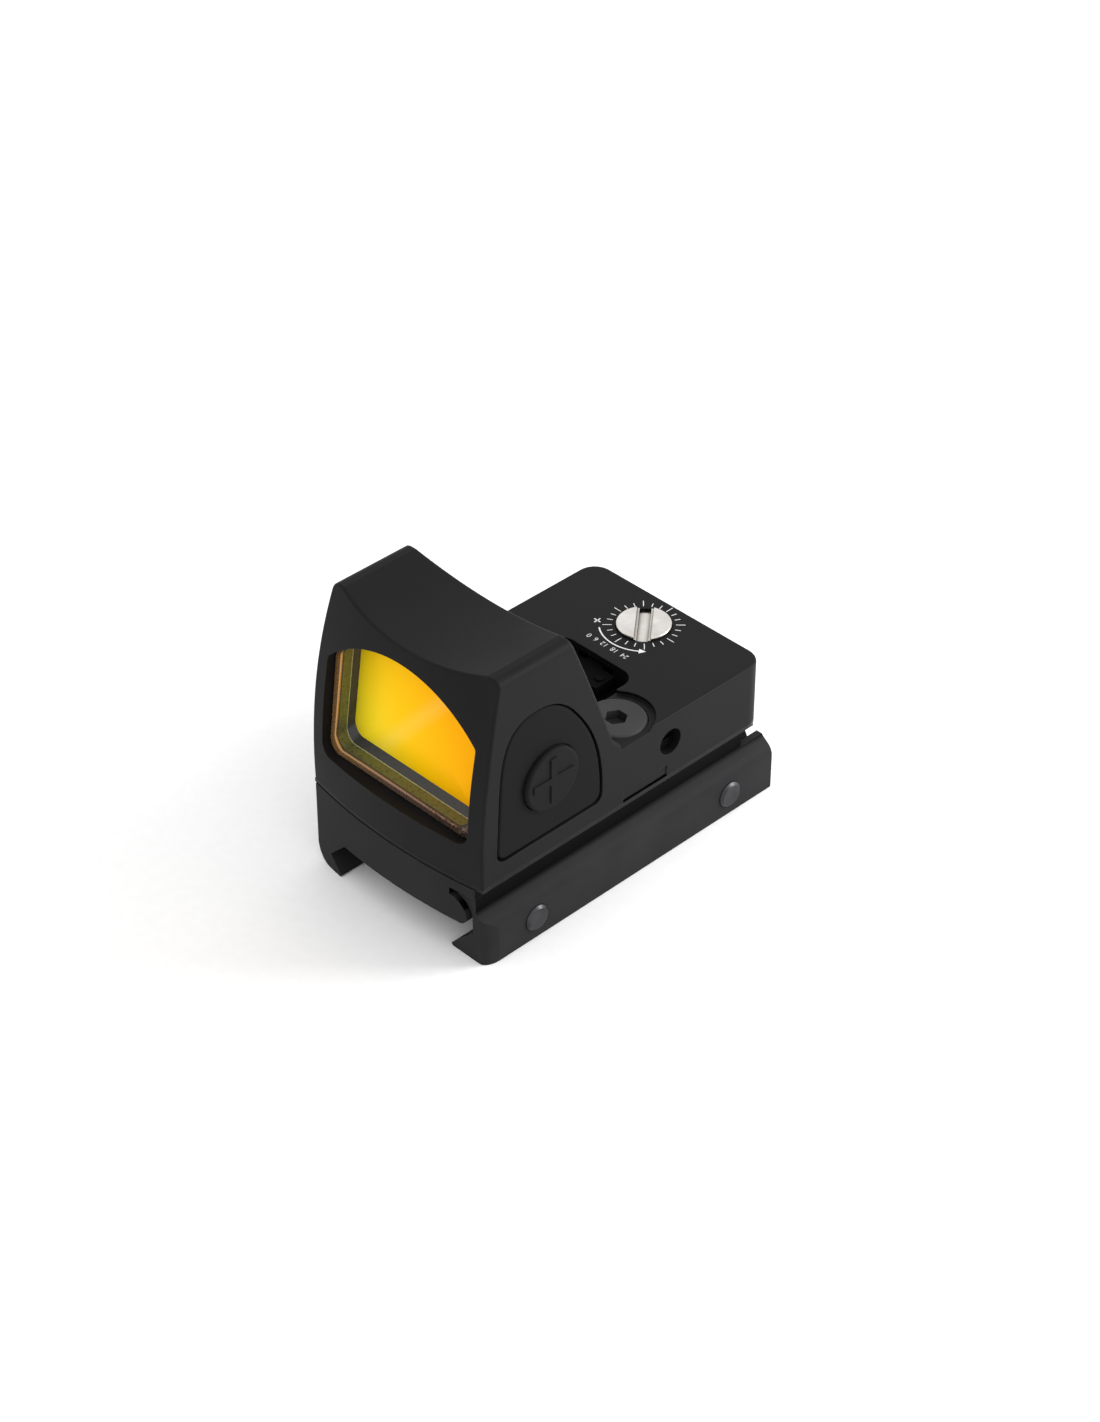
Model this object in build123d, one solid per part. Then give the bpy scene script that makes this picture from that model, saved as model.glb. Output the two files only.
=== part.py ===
from build123d import *
from math import radians, sqrt, tan
import os

os.makedirs("parts", exist_ok=True)

# ---------------------------------------------------------------- driving sizes
# X runs across the sight, Y from the lens (-Y) to the rear (+Y), Z up.
LENGTH = 45.0            # housing, lens side to rear wall
WIDTH = 27.8             # housing across the buttons
BASE_HEIGHT = 10.3       # rail clamp, feet to the seam under the housing
DECK_HEIGHT = 8.85       # housing deck above the seam
EAR_HEIGHT = 26.5        # tips of the two ears above the seam
FACE_RADIUS = 75.0       # the lens face is a patch of this ball
FACE_LEVEL = 3.0         # height above the seam where the face stands upright
LEAN_LEVEL = 12.0        # height above the seam where the side walls start to lean in
RAIL_WIDTH = 21.2        # accessory rail across its widest ridge
RAIL_RIDGE_DROP = 2.8    # rail top flat down to the widest ridge
RUNNING_FIT = 0.05       # radial gap of a turning or sliding fit
EDGE_ROUND = 0.35        # softened outer edges of the housing
CORNER_ROUND = 2.5       # rounded rear corners in plan

half_length = LENGTH / 2
half_width = WIDTH / 2
seam = BASE_HEIGHT
deck = seam + DECK_HEIGHT
ear_top = seam + EAR_HEIGHT
face_bulge = FACE_RADIUS - sqrt(FACE_RADIUS**2 - half_width**2)
face_pole = -half_length - face_bulge
face_center = face_pole + FACE_RADIUS
face_level = seam + FACE_LEVEL
lean_level = seam + LEAN_LEVEL


# ---------------------------------------------------------------- small helpers
def block(x, y, z):
    """Box between the given low and high values on each axis."""
    size = [span[1] - span[0] for span in (x, y, z)]
    middle = [(span[0] + span[1]) / 2 for span in (x, y, z)]
    return Pos(*middle) * Box(*size)


def upright(radius, x, y, z):
    """Cylinder along Z."""
    return Pos(x, y, (z[0] + z[1]) / 2) * Cylinder(radius, z[1] - z[0])


def crosswise(radius, y, z, x):
    """Cylinder along X."""
    middle = Pos((x[0] + x[1]) / 2, y, z)
    return middle * Rot(Y=90) * Cylinder(radius, x[1] - x[0])


def lengthwise(radius, x, z, y):
    """Cylinder along Y."""
    middle = Pos(x, (y[0] + y[1]) / 2, z)
    return middle * Rot(X=90) * Cylinder(radius, y[1] - y[0])


def prism_y(outline, y):
    """Extrude an XZ outline between two Y values."""
    plane = Plane(origin=(0, y[0], 0), x_dir=(1, 0, 0), z_dir=(0, 1, 0))
    return extrude(plane * mirror(outline, Plane.XZ), y[1] - y[0])


def prism_x(outline, x):
    """Extrude a YZ outline between two X values."""
    plane = Plane(origin=(x[0], 0, 0), x_dir=(0, 1, 0), z_dir=(1, 0, 0))
    return extrude(plane * outline, x[1] - x[0])


def face_ball(depth):
    """Ball whose front skin lies the given depth behind the lens face."""
    return Pos(0, face_center, face_level) * Sphere(FACE_RADIUS - depth)


# ---------------------------------------------------------------- lens window
WINDOW_HALF = 11.9       # half the window width
WINDOW_SILL = 5.5        # window bottom above the seam
WINDOW_CROWN = 23.1      # top of the window arch above the seam
WINDOW_ARCH = 16.7       # radius of the arch
POCKET_DEPTH = 1.1       # lens face to the bond ring
RING_WIDTH = 1.6         # bond ring across its flat
RING_THICK = 0.8
LENS_BACK = -15.6        # Y of the shoulder behind the lens
ELEMENT_THICK = 3.0      # front lens element behind the ring
SHOULDER = 1.4           # lip that holds the lens from behind


def window_outline(inset):
    """Window shape in XZ: flat sill, straight sides, round arch."""
    half = WINDOW_HALF - inset
    sill = seam + WINDOW_SILL + inset
    arch_center = seam + WINDOW_CROWN - WINDOW_ARCH
    crown = seam + WINDOW_CROWN
    panel = Pos(0, (sill + crown) / 2) * Rectangle(2 * half, crown - sill)
    shape = panel & Pos(0, arch_center) * Circle(WINDOW_ARCH - inset)
    low = shape.vertices().sort_by(Axis.Y)[:2]
    shape = fillet(low, 1.6)
    high = [v for v in shape.vertices() if v.Y > arch_center + WINDOW_ARCH / 2]
    return fillet(high, 0.9)


def window_body(inset, front_depth, back):
    """Solid of the window shape from a depth behind the face to a Y value."""
    return prism_y(window_outline(inset), (face_pole - 2, back)) & face_ball(front_depth)


# ---------------------------------------------------------------- deck features
SCREW_X = 9.4            # mounting screws, each side of the middle
SCREW_Y = 2.5
SCREW_HEAD = 3.65        # radius of the low flat head
SCREW_HEAD_HEIGHT = 2.1
SCREW_SHANK = 1.95
SCREW_END = 5.6          # tip of the mounting screws above the feet
COUNTERBORE = 3.75
LEDGE_DROP = 0.5         # screw ledge below the deck
LEDGE_RADIUS = 4.6
WELL_HALF = 6.1          # emitter well half width
WELL_REAR = 9.2
WELL_FRONT = -15.0
WELL_FLOOR = 4.6         # above the seam
CARRIAGE_FLOOR = 3.9     # deeper end of the well, under the windage carriage
DIAL_X = -0.5
DIAL_Y = 17.2
DIAL_RADIUS = 3.3
WINDAGE_Y = 6.85
WINDAGE_Z = seam + 5.2
counterbore_floor = deck - LEDGE_DROP - SCREW_HEAD_HEIGHT + 0.2

# ---------------------------------------------------------------- side buttons
BUTTON_Y = -12.2
BUTTON_Z = seam + 10.6
BUTTON_RADIUS = 4.0
BUTTON_PROUD = 0.55      # button crown beyond the side wall
MARK_LENGTH = 6.0        # raised plus or minus mark
MARK_WIDTH = 0.9
RECESS_DEPTH = 1.2       # rubber panel recess in the side wall
RUBBER_GAP = 0.25        # groove around the rubber panel
RUBBER_ROUND = 0.35      # rounded edge of the rubber panel


def panel_outline(inset):
    """Rubber panel in YZ: flat bottom, leaning front edge, arched rear edge."""
    front = -20.35 + inset
    rear = -4.0 - inset
    low = seam + 2.75 + inset
    shoulder = (front + 0.4, seam + 10.6)
    crown = (-14.0, seam + 20.55 - inset)
    heel = (rear, seam + 5.5)
    with BuildSketch() as sketch:
        with BuildLine():
            Polyline(heel, (rear, low), (front, low), shoulder)
            Spline(shoulder, crown, tangents=[(0.06, 1), (1, 0)])
            Spline(crown, (-7.9 - inset, seam + 17.1), heel, tangents=[(1, 0), (0.03, -1)])
        make_face()
        fillet(sketch.vertices().sort_by(Axis.Y)[:2], 1.3)
    return sketch.sketch


# ---------------------------------------------------------------- battery and board
BATTERY_Y = 13.2
BATTERY_RADIUS = 8.0
BATTERY_HEIGHT = 2.0
PLATE = 0.5              # seal plate thickness
BAY_HALF = 10.8
BAY = (9.7, 21.4)        # Y span of the board bay
BAY_ROOF = 5.4
BOARD = (3.4, 4.2)       # board bottom and top above the seam
plate_top = seam + PLATE
battery_low = plate_top + 0.17


def bay_outline():
    """Battery and board bay seen from below."""
    box = Pos(0, sum(BAY) / 2) * Rectangle(2 * BAY_HALF, BAY[1] - BAY[0])
    return box + Pos(0, BATTERY_Y) * Circle(BATTERY_RADIUS + 0.3)


# ---------------------------------------------------------------- elevation drive
WEB_LOW = 6.7            # underside of the web under the dial, above the seam
WEB_TOP = 7.3
ARM = (4.9, 5.8)         # emitter arm, bottom and top above the seam
STEM_RADIUS = 1.0


# ---------------------------------------------------------------- housing
def hood_side_profile():
    """Housing in YZ, cut square at the front: deck, then the raked hood."""
    rake = tan(radians(70))
    foot = -1.8
    top = foot - (EAR_HEIGHT - DECK_HEIGHT) / rake
    front = face_pole - 2
    outline = Polyline(
        (half_length, plate_top),
        (half_length, deck),
        (foot, deck),
        (top, ear_top),
        (front, ear_top),
        (front, plate_top),
        (half_length, plate_top),
    )
    shape = make_face(outline)
    inner = [v for v in shape.vertices() if abs(v.X - foot) < 0.01]
    return fillet(inner, 2.4)


def hood_cross_section(inset=0.0):
    """Housing in XZ: upright walls that lean in, rounded ears, dip between them."""
    lean_radius = 150.0
    rise = ear_top - lean_level
    top_half = half_width - inset - rise**2 / (2 * lean_radius)
    low_half = half_width - inset
    ear_flat = 11.4
    dip = 1.6
    dip_radius = (ear_flat**2 + dip**2) / (2 * dip)
    with BuildSketch() as sketch:
        with BuildLine():
            Line((-low_half, lean_level), (-low_half, plate_top))
            Line((-low_half, plate_top), (low_half, plate_top))
            Line((low_half, plate_top), (low_half, lean_level))
            RadiusArc((low_half, lean_level), (top_half, ear_top), -lean_radius)
            Line((top_half, ear_top), (-top_half, ear_top))
            RadiusArc((-top_half, ear_top), (-low_half, lean_level), -lean_radius)
        make_face()
        fillet(sketch.vertices().sort_by(Axis.Y)[-2:], 1.2)
    return sketch.sketch - Pos(0, ear_top - dip + dip_radius) * Circle(dip_radius)


def plan_outline(rear):
    """Plan view with the two rounded rear corners, square at the front."""
    front = face_pole - 3
    shape = Pos(0, (rear + front) / 2) * Rectangle(WIDTH, rear - front)
    return fillet(shape.vertices().sort_by(Axis.Y)[-2:], CORNER_ROUND)


def housing_shell():
    """Outer body of the housing with its softened edges."""
    body = prism_x(hood_side_profile(), (-half_width, half_width))
    body &= prism_y(hood_cross_section(), (face_pole - 3, half_length + 1))
    body &= Pos(0, 0, seam) * extrude(plan_outline(half_length), EAR_HEIGHT + 1)
    body &= face_ball(0)
    return softened(body)


def softened(body):
    """Round the outer edges, but not those around the flat underside."""
    def box(edge):
        return edge.bounding_box()

    above = [e for e in body.edges() if box(e).min.Z > plate_top + 0.1]
    corners = [e for e in body.edges() if box(e).min.Z < plate_top + 0.1 and box(e).size.Z > 5]
    front_corners = [e for e in corners if box(e).max.Y < -half_length + 4]
    return fillet(above + front_corners, EDGE_ROUND)


def sight_tunnel():
    """Passage behind the lens: it stops short of the deck below the ledge level."""
    outline = window_outline(SHOULDER)
    tunnel = prism_y(outline, (LENS_BACK - 1, -6))
    above_deck = block((-half_width, half_width), (LENS_BACK - 1, 6), (deck - LEDGE_DROP, ear_top))
    return tunnel + (prism_y(outline, (LENS_BACK - 1, 6)) & above_deck)


def screw_ledges():
    """Shallow scallops and counterbores around the two mounting screws."""
    cut = Part()
    for x in (-SCREW_X, SCREW_X):
        side = 1 if x > 0 else -1
        outer = sorted((x, side * (half_width + 1)))
        ledge = deck - LEDGE_DROP
        cut += upright(LEDGE_RADIUS, x, SCREW_Y, (ledge, deck + 4))
        cut += block(outer, (-1.2, 1.6), (ledge, deck + 0.6))
        cut += upright(COUNTERBORE, x, SCREW_Y, (counterbore_floor, deck + 4))
        cut += upright(SCREW_SHANK + RUNNING_FIT, x, SCREW_Y, (plate_top, deck))
    return cut


def emitter_well():
    """Trough for the emitter, with a deeper end for the windage carriage."""
    middle = (WELL_REAR + WELL_FRONT) / 2
    plan = Pos(0, middle) * RectangleRounded(2 * WELL_HALF, WELL_REAR - WELL_FRONT, 2)
    well = Pos(0, 0, seam + WELL_FLOOR) * extrude(plan, DECK_HEIGHT)
    x = (-WELL_HALF, WELL_HALF)
    well += block(x, (5.0, WELL_REAR), (seam + CARRIAGE_FLOOR, seam + WELL_FLOOR + 1))
    return well


def arm_tunnel():
    """Space under the deck that lets the emitter arm rise and fall."""
    x = (-3.4, 2.4)
    tunnel = block(x, (WELL_REAR - 0.5, 10.4), (seam + CARRIAGE_FLOOR, seam + 8.0))
    tunnel += block(x, (WELL_REAR, 20.4), (seam + 4.3, seam + WEB_LOW))
    return tunnel


def adjuster_bores():
    """Elevation bore from the deck, windage bore from the +X side."""
    top = (seam + WEB_TOP, deck + 1)
    cut = upright(DIAL_RADIUS + RUNNING_FIT, DIAL_X, DIAL_Y, top)
    cut += upright(STEM_RADIUS + RUNNING_FIT, DIAL_X, DIAL_Y, (seam + WEB_LOW - 1, deck))
    cut += crosswise(1.7, WINDAGE_Y, WINDAGE_Z, (11.8, half_width + 1))
    cut += crosswise(0.75, WINDAGE_Y, WINDAGE_Z, (WELL_HALF - 1, half_width))
    cut += crosswise(1.1, WINDAGE_Y, WINDAGE_Z, (-9.4, -WELL_HALF + 1))
    return cut


def button_recess(side):
    """Panel recess, plunger clearance and switch pocket on one side."""
    floor = half_width - RECESS_DEPTH
    spans = ((floor, half_width + 1), (12.25, half_width), (11.1, half_width))
    recess, plunger, pocket = [sorted((side * a, side * b)) for a, b in spans]
    cut = prism_x(panel_outline(0), recess)
    cut += crosswise(BUTTON_RADIUS + 0.3, BUTTON_Y, BUTTON_Z, plunger)
    cut += crosswise(1.95, BUTTON_Y, BUTTON_Z, pocket)
    return cut


def gasket_ring(low, high, inner, outer):
    """Ring that follows the bay outline at the given offsets."""
    ring = offset(bay_outline(), outer) - offset(bay_outline(), inner)
    return Pos(0, 0, low) * extrude(ring, high - low)


def board_bosses():
    """Two posts that the board screws to."""
    posts = Part()
    for x in (-9.0, 9.0):
        posts += upright(1.5, x, 19.6, (seam + BOARD[1], seam + BAY_ROOF + 0.2))
    return posts


def housing():
    body = housing_shell()
    body -= prism_y(window_outline(0), (face_pole - 2, LENS_BACK))
    body -= sight_tunnel()
    body -= screw_ledges()
    body -= emitter_well()
    body -= arm_tunnel()
    body -= adjuster_bores()
    body -= button_recess(1)
    body -= button_recess(-1)
    bay = Pos(0, 0, seam) * extrude(bay_outline(), 3.2)
    bay += block((-BAY_HALF, BAY_HALF), BAY, (seam, seam + BAY_ROOF))
    body -= bay
    body += board_bosses()
    for x in (-9.0, 9.0):
        body -= upright(0.75, x, 19.6, (seam + BOARD[0], seam + BAY_ROOF + 1.0))
    body -= gasket_ring(plate_top, plate_top + 0.45, 0.15, 0.65)
    body -= side_notch(1)
    body -= side_notch(-1)
    return body


def side_notch(side):
    """Very shallow relief low in the side wall, with a thin deeper slit along its bottom."""
    relief = 0.12
    slit = 0.6
    slit_height = 0.35
    span = (-0.7, 6.4)
    outside = side * (half_width + 1)
    x = sorted((side * (half_width - relief), outside))
    deep_x = sorted((side * (half_width - slit), outside))
    notch = block(x, span, (seam, seam + 2.1))
    return notch + block(deep_x, span, (seam, plate_top + slit_height))



# ---------------------------------------------------------------- lens
def lens_bond_ring():
    outer = window_body(0.05, POCKET_DEPTH, LENS_BACK - 1)
    inner = window_outline(RING_WIDTH)
    ring = outer - prism_y(inner, (face_pole - 2, LENS_BACK))
    return ring - face_ball(POCKET_DEPTH + RING_THICK)


def front_lens_element():
    lens = window_body(0.05, POCKET_DEPTH + RING_THICK + 0.02, LENS_BACK - 1)
    return lens - face_ball(POCKET_DEPTH + RING_THICK + ELEMENT_THICK)


def rear_lens_element():
    depth = POCKET_DEPTH + RING_THICK + ELEMENT_THICK + 0.02
    return window_body(0.05, depth, LENS_BACK - 0.02)


# ---------------------------------------------------------------- side buttons
def mirrored(shape, side):
    """The shape on the +X side, or its twin on the -X side."""
    return shape if side > 0 else mirror(shape, Plane.YZ)


def button_surround(side):
    """Rubber panel around the round button, flush with the side wall, its rim rounded."""
    floor = half_width - RECESS_DEPTH
    panel = prism_x(panel_outline(RUBBER_GAP), (floor, half_width - 0.05))
    panel &= prism_y(hood_cross_section(0.05), (-22, -2))
    outer = [e for e in panel.edges() if e.bounding_box().min.X > floor + 0.5]
    rim = [e for e in outer if abs(e.center().Z - lean_level) > 0.01]
    panel = fillet(rim, RUBBER_ROUND)
    panel -= crosswise(BUTTON_RADIUS + 0.1, BUTTON_Y, BUTTON_Z, (floor - 1, half_width + 1))
    return mirrored(panel, side)


def button(side):
    """Round button with a domed rim and a stem towards its switch."""
    low = half_width - RECESS_DEPTH + 0.05
    crown = half_width + BUTTON_PROUD
    cap = crosswise(BUTTON_RADIUS, BUTTON_Y, BUTTON_Z, (low, crown))
    rim = cap.edges().filter_by(GeomType.CIRCLE).sort_by(Axis.X)[-1]
    cap = fillet(rim, 0.4)
    cap += crosswise(1.3, BUTTON_Y, BUTTON_Z, (12.25, low + 0.1))
    raised = (crown - 0.1, crown + 0.15)
    short = MARK_WIDTH / 2
    long = MARK_LENGTH / 2
    cap += block(raised, (BUTTON_Y - long, BUTTON_Y + long), (BUTTON_Z - short, BUTTON_Z + short))
    if side > 0:
        cap += block(raised, (BUTTON_Y - short, BUTTON_Y + short), (BUTTON_Z - long, BUTTON_Z + long))
    return mirrored(cap, side)


def button_switch(side):
    """Dome switch that the stem presses."""
    switch = crosswise(1.85, BUTTON_Y, BUTTON_Z, (11.12, 11.5))
    switch += crosswise(1.0, BUTTON_Y, BUTTON_Z, (11.4, 11.76))
    return mirrored(switch, side)


# ---------------------------------------------------------------- seal, battery, board
def seal_plate():
    plan = plan_outline(half_length)
    plate = Pos(0, 0, seam) * extrude(plan, PLATE)
    plate &= face_ball(0)
    for x in (-SCREW_X, SCREW_X):
        plate -= upright(SCREW_SHANK + RUNNING_FIT, x, SCREW_Y, (seam - 1, plate_top + 1))
    return plate


def seal_gasket():
    return gasket_ring(plate_top + 0.01, plate_top + 0.43, 0.18, 0.62)


def battery_cell():
    top = battery_low + BATTERY_HEIGHT
    can = upright(BATTERY_RADIUS, 0, BATTERY_Y, (battery_low, top - 0.25))
    can += upright(BATTERY_RADIUS - 0.5, 0, BATTERY_Y, (top - 0.3, top))
    return can


def negative_contact():
    """Foil under the cell with a tongue that climbs to the board."""
    low = plate_top + 0.01
    high = plate_top + 0.16
    y = (BATTERY_Y - 1, BATTERY_Y + 1)
    foil = upright(6.0, 0, BATTERY_Y, (low, high))
    foil += block((0, 9.6), y, (low, high))
    foil += block((9.4, 9.6), y, (low, seam + BOARD[0] - 0.01))
    return foil


def positive_contact():
    """Bent leaf between the board and the top of the cell."""
    top = seam + BOARD[0] - 0.01
    cell_top = battery_low + BATTERY_HEIGHT + 0.02
    y = (BATTERY_Y - 1.2, BATTERY_Y + 1.2)
    leaf = block((-4, 0), y, (top - 0.15, top))
    leaf += block((-0.15, 0), y, (cell_top, top))
    leaf += block((-0.15, 3), y, (cell_top, cell_top + 0.15))
    return leaf


def circuit_board():
    y = (BAY[0] + 0.3, BAY[1] - 0.2)
    board = block((-10.5, 10.5), y, [seam + z for z in BOARD])
    for x in (-9.0, 9.0):
        board -= upright(0.85, x, 19.6, (seam, deck))
    return board


def control_chip():
    top = seam + BOARD[1] + 0.01
    return block((4, 8), (12, 16), (top, top + 0.9))


def board_capacitors():
    """Four small chip capacitors in a row."""
    group = Part()
    top = seam + BOARD[1] + 0.01
    for y in (11.2, 13.2, 15.2, 17.2):
        group += block((-6.6, -4.6), (y - 0.6, y + 0.6), (top, top + 0.8))
    return group


def board_screws():
    """Two pan-head screws that hold the board to its posts."""
    group = Part()
    low = seam + BOARD[0] - 0.01
    for x in (-9.0, 9.0):
        group += upright(1.3, x, 19.6, (low - 0.8, low))
        group += upright(0.7, x, 19.6, (low - 0.4, seam + BAY_ROOF + 0.8))
        group -= block((x - 1.0, x + 1.0), (19.4, 19.8), (low - 1, low - 0.5))
    return group


# ---------------------------------------------------------------- elevation drive
def elevation_screw():
    """Slotted dial screw: head, sealing groove, stem and clip groove."""
    top = deck + 0.45
    low = seam + WEB_TOP + 0.05
    head = upright(DIAL_RADIUS, DIAL_X, DIAL_Y, (low, top))
    rim = head.edges().filter_by(GeomType.CIRCLE).sort_by(Axis.Z)[-1]
    head = fillet(rim, 0.25)
    groove = upright(DIAL_RADIUS + 1, DIAL_X, DIAL_Y, (low + 0.3, low + 0.9))
    groove -= upright(2.75, DIAL_X, DIAL_Y, (low, top))
    head -= groove
    head += upright(STEM_RADIUS, DIAL_X, DIAL_Y, (seam + 4.45, low + 0.1))
    clip = upright(STEM_RADIUS + 1, DIAL_X, DIAL_Y, (seam + 6.3, seam + 6.65))
    clip -= upright(0.75, DIAL_X, DIAL_Y, (seam + 6, seam + 7))
    head -= clip
    slot = block((-1.0, 1.0), (-4, 4), (top - 0.35, top + 1))
    slot += block((-0.7, 0.7), (-4, 4), (top - 0.8, top + 1))
    head -= Pos(DIAL_X, DIAL_Y, 0) * Rot(Z=40.5) * slot
    return head


def elevation_o_ring():
    level = seam + WEB_TOP + 0.65
    return Pos(DIAL_X, DIAL_Y, level) * Torus(3.05, 0.27)


def clip_ring(outer, inner, thick):
    """Open retaining clip lying flat, its mouth towards +X."""
    ring = Cylinder(outer, thick) - Cylinder(inner, thick)
    return ring - Pos(outer, 0, 0) * Box(2 * outer, 1.2 * inner, thick)


def elevation_retaining_clip():
    return Pos(DIAL_X, DIAL_Y, seam + 6.475) * clip_ring(1.9, 0.8, 0.3)


def elevation_nut():
    """Square nut that rides up and down on the dial screw."""
    nut = block((-1.7, 0.7), (DIAL_Y - 1.2, DIAL_Y + 1.2), [seam + z for z in ARM])
    return nut - upright(STEM_RADIUS + 0.02, DIAL_X, DIAL_Y, (seam, deck))


# ---------------------------------------------------------------- emitter
CARRIAGE_TOP = 6.1
POSTS_X = 2.3
BLOCK_Y = (5.5, 8.7)


def windage_carriage():
    """Sled with two guide posts, threaded at its +X end."""
    sled = block((-5.0, 4.9), (5.3, 8.75), (seam + CARRIAGE_FLOOR + 0.1, seam + CARRIAGE_TOP))
    for x in (-POSTS_X, POSTS_X):
        sled += upright(0.5, x, 7.1, (seam + CARRIAGE_TOP - 0.2, seam + 7.9))
    return sled - crosswise(0.72, WINDAGE_Y, WINDAGE_Z, (0.4, 6))


def emitter_block():
    """Emitter carrier with an arm that reaches back to the dial nut."""
    body = block((-3.2, 3.2), BLOCK_Y, (seam + 6.5, seam + 7.7))
    for x in (-POSTS_X, POSTS_X):
        body -= upright(0.55, x, 7.1, (seam, deck))
    body += block((-1.8, 0.8), (8.6, 10.0), (seam + 6.5, seam + 7.6))
    body += block((-1.8, 0.8), (9.1, 10.0), (seam + ARM[0], seam + 7.6))
    body += block((-2.9, 1.9), (9.1, 19.4), [seam + z for z in ARM])
    body -= block((-2.2, 1.2), (DIAL_Y - 1.25, DIAL_Y + 1.25), (seam, seam + 6.2))
    body -= lengthwise(0.6, 0, seam + 7.05, (BLOCK_Y[0] - 1, 7.4))
    return body


def red_led():
    return lengthwise(0.5, 0, seam + 7.05, (6.1, 7.3))


def emitter_window():
    return lengthwise(0.58, 0, seam + 7.05, (BLOCK_Y[0] + 0.05, 5.8))


# ---------------------------------------------------------------- windage drive
def windage_screw():
    """Recessed slotted screw in the side hole, with a long thin stem."""
    def rod(radius, x):
        return crosswise(radius, WINDAGE_Y, WINDAGE_Z, x)

    screw = rod(1.6, (11.85, 12.9))
    screw -= rod(2, (12.2, 12.6)) - rod(1.2, (12, 13))
    screw += rod(0.7, (0.8, 12))
    screw -= rod(1.2, (5.6, 5.95)) - rod(0.5, (5, 6.5))
    slot = block((12.65, 13), (WINDAGE_Y - 2, WINDAGE_Y + 2), (WINDAGE_Z - 0.3, WINDAGE_Z + 0.3))
    return screw - slot


def windage_o_ring():
    return Pos(12.4, WINDAGE_Y, WINDAGE_Z) * Rot(Y=90) * Torus(1.44, 0.18)


def windage_retaining_clip():
    return Pos(5.775, WINDAGE_Y, WINDAGE_Z) * Rot(Y=90) * clip_ring(1.15, 0.55, 0.3)


def windage_spring():
    """Compression spring that takes up the play of the carriage."""
    start = -9.35
    end = -5.05
    turns = 6
    wire = 0.14
    free = end - start - 2 * wire
    coil = Helix(pitch=free / turns, height=free, radius=0.75)
    section = Plane(origin=coil @ 0, z_dir=coil % 0) * Circle(wire)
    spring = sweep(section, path=coil)
    return Pos(start + wire, WINDAGE_Y, WINDAGE_Z) * Rot(Y=90) * spring


# ---------------------------------------------------------------- mounting screws
def mounting_screws():
    """Two low flat-head cap screws with hex sockets."""
    group = Part()
    for x in (-SCREW_X, SCREW_X):
        low = counterbore_floor + 0.02
        crown = low + SCREW_HEAD_HEIGHT
        head = upright(SCREW_HEAD, x, SCREW_Y, (low, crown))
        rim = head.edges().filter_by(GeomType.CIRCLE).sort_by(Axis.Z)[-1]
        head = fillet(rim, 0.35)
        socket = RegularPolygon(radius=1.25, side_count=6, major_radius=False)
        head -= Pos(x, SCREW_Y, crown - 1.3) * extrude(socket, 2)
        group += head
        group += upright(SCREW_SHANK, x, SCREW_Y, (SCREW_END, low + 0.1))
    return group


# ---------------------------------------------------------------- rail clamp
SEAT = 4.9               # rail top flat above the feet
RIDGE = SEAT - RAIL_RIDGE_DROP
FOOT_X = 13.6
FACE_RAKE = 2.3          # degrees the clamp's front leans forward
SLOT = (8.15, 9.15)      # guide slot for the clamp bar's tongue
SLOT_END = 3.0
SLOT_HALF = 19.0         # the slot stops short of both ends of the base
TONGUE_END = 4.6         # tip of the tongue, leaving room to close further
BOLT_Y = (-15.0, 16.4)
BOLT_Z = 3.0
BOLT_RADIUS = 1.65
BOLT_PROUD = 0.4         # bolt tips beyond the clamp bar
BAR_INNER = 12.4         # inner wall of the clamp bar, gripping a rail
BAR_OUTER = 14.65
BAR_ENDS = (-22.65, 23.65)   # Y span of the bar: its rear end projects past the base
STEP_X = 12.9            # recessed wall above the bar, in the housing's shadow
STEP_Z = 7.1             # floor of that recess


def raked_front():
    """Tilted cylinder that shapes the forward-leaning front of the clamp."""
    return Pos(0, face_center, seam) * Rot(X=-FACE_RAKE) * Cylinder(FACE_RADIUS, 60)


def mount_base():
    """Fixed half of the rail clamp, with the rail seat and fixed jaw."""
    ridge_x = RAIL_WIDTH / 2
    seat_x = ridge_x - RAIL_RIDGE_DROP
    lip_x = ridge_x - RIDGE
    foot_x = FOOT_X - 0.4
    corner = 2.6
    nose = 2.4
    block_end = BAR_INNER - 0.6
    with BuildSketch() as sketch:
        with BuildLine():
            Polyline((-foot_x, corner), (-FOOT_X, seam), (STEP_X, seam), (STEP_X, SLOT[1]),
                     (SLOT_END, SLOT[1]), (SLOT_END, SLOT[0]), (block_end - nose, SLOT[0]))
            RadiusArc((block_end - nose, SLOT[0]), (block_end, SLOT[0] - nose), nose)
            RadiusArc((block_end, SLOT[0] - nose), (block_end - 0.85, SEAT), 0.9)
            Polyline((block_end - 0.85, SEAT), (-seat_x, SEAT), (-ridge_x, RIDGE),
                     (-lip_x, 0.15), (-lip_x - 0.15, 0), (-foot_x + corner, 0))
            RadiusArc((-foot_x + corner, 0), (-foot_x, corner), corner)
        make_face()
    body = prism_y(sketch.sketch, (face_pole - 4, half_length))
    closed = (SLOT_END - 0.5, block_end - nose)
    for y in ((face_pole - 4, -SLOT_HALF), (SLOT_HALF, half_length)):
        body += block(closed, y, (SLOT[0] - 0.1, SLOT[1] + 0.1))
    body &= extrude(plan_outline(half_length), seam)
    body &= raked_front()
    for y in BOLT_Y:
        body -= crosswise(BOLT_RADIUS + RUNNING_FIT, y, BOLT_Z, (-FOOT_X - 1, FOOT_X))
        body -= crosswise(2.7, y, BOLT_Z, (-FOOT_X - 1, -11.6))
    for x in (-SCREW_X, SCREW_X):
        body -= upright(SCREW_SHANK + RUNNING_FIT, x, SCREW_Y, (SCREW_END - 0.1, seam + 1))
    return body


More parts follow.
